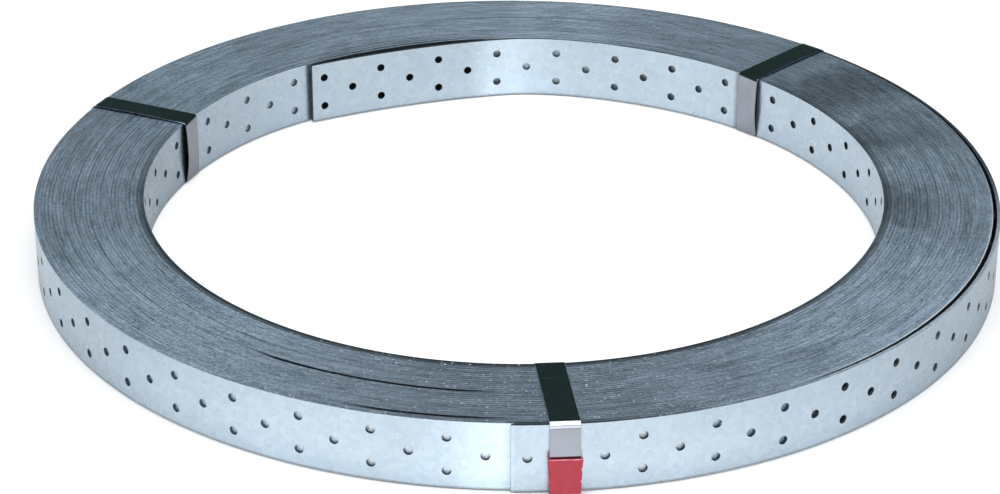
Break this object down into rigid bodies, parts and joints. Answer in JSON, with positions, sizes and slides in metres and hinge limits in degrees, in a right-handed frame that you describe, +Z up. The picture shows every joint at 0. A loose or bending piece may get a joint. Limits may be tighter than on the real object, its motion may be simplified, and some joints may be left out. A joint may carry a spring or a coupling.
{
  "type": "steel coil",
  "caption": "Flat-lying coil of galvanised steel bracing strip, punched with nail holes, tied with crimped packing bands.",
  "frame": {"origin": "on the coil's axis, at the surface that the coil lies on", "axes": "+Z up along the coil's axis, -Y towards the outer end and the front band"},
  "size_m": [0.5698, 0.575, 0.0412],
  "materials": {
    "galvanised_strip": "hot-dip galvanised, spangled",
    "band_steel": "bright rolled",
    "seal_red": "satin paint"
  },
  "bodies": {
    "root": {"strip_coil": "galvanised_strip", "band_front": "band_steel", "band_right": "band_steel", "band_left": "band_steel", "seal_front": "seal_red", "seal_right": "seal_red", "seal_left": "seal_red"}
  },
  "joints": []
}
